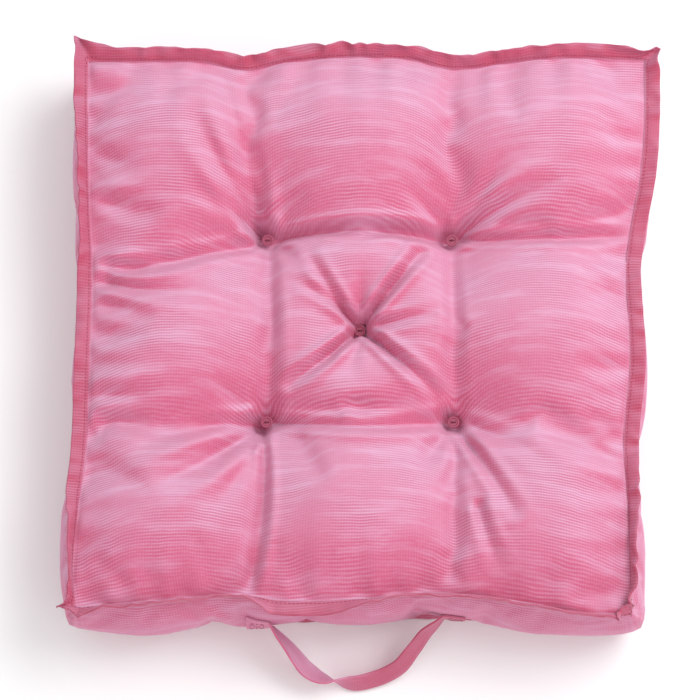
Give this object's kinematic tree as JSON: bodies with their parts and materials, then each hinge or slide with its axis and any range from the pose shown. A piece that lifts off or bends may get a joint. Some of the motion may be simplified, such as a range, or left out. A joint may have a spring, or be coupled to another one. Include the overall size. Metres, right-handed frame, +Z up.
{
  "type": "floor cushion",
  "caption": "Square tufted floor cushion with side bands, flanged seams, button tufts and a carrying strap on its front side.",
  "frame": {"origin": "middle of the underside, on the floor", "axes": "+Z up, -Y towards the side with the carrying strap, +X to the right seen from that side"},
  "size_m": [0.5, 0.5531, 0.108],
  "materials": {
    "cover": "plain-weave cotton, matt with a faint sheen",
    "strap_cloth": "the cover's cloth, folded double",
    "sewing_thread": "spun polyester thread",
    "tufting_twine": "waxed polyester twine",
    "tuft_button": "moulded polyester button, satin",
    "filling": "white hollow-fibre wadding"
  },
  "bodies": {
    "cushion": {"filling_pad": "filling", "top_panel": "cover", "bottom_panel": "cover", "front_band": "cover", "right_band": "cover", "back_band": "cover", "left_band": "cover", "top_button_centre": "tuft_button", "bottom_button_centre": "tuft_button", "top_button_front_left": "tuft_button", "bottom_button_front_left": "tuft_button", "top_button_front_right": "tuft_button", "bottom_button_front_right": "tuft_button", "top_button_back_left": "tuft_button", "bottom_button_back_left": "tuft_button", "top_button_back_right": "tuft_button", "bottom_button_back_right": "tuft_button", "tuft_twine_centre": "tufting_twine", "tuft_twine_front_left": "tufting_twine", "tuft_twine_front_right": "tufting_twine", "tuft_twine_back_left": "tufting_twine", "tuft_twine_back_right": "tufting_twine", "top_edge_stitching": "sewing_thread", "bottom_edge_stitching": "sewing_thread", "strap_end_left": "strap_cloth", "strap_end_right": "strap_cloth", "strap_stitching_left": "sewing_thread", "strap_stitching_right": "sewing_thread"},
    "handle": {"carrying_strap": "strap_cloth"}
  },
  "joints": [
    {"name": "handle_swing", "type": "hinge", "parent": "cushion", "child": "handle", "pos_m": [-0.004, -0.263, 0.05], "axis": [-1, 0, 0], "range_deg": [0, 120]}
  ]
}
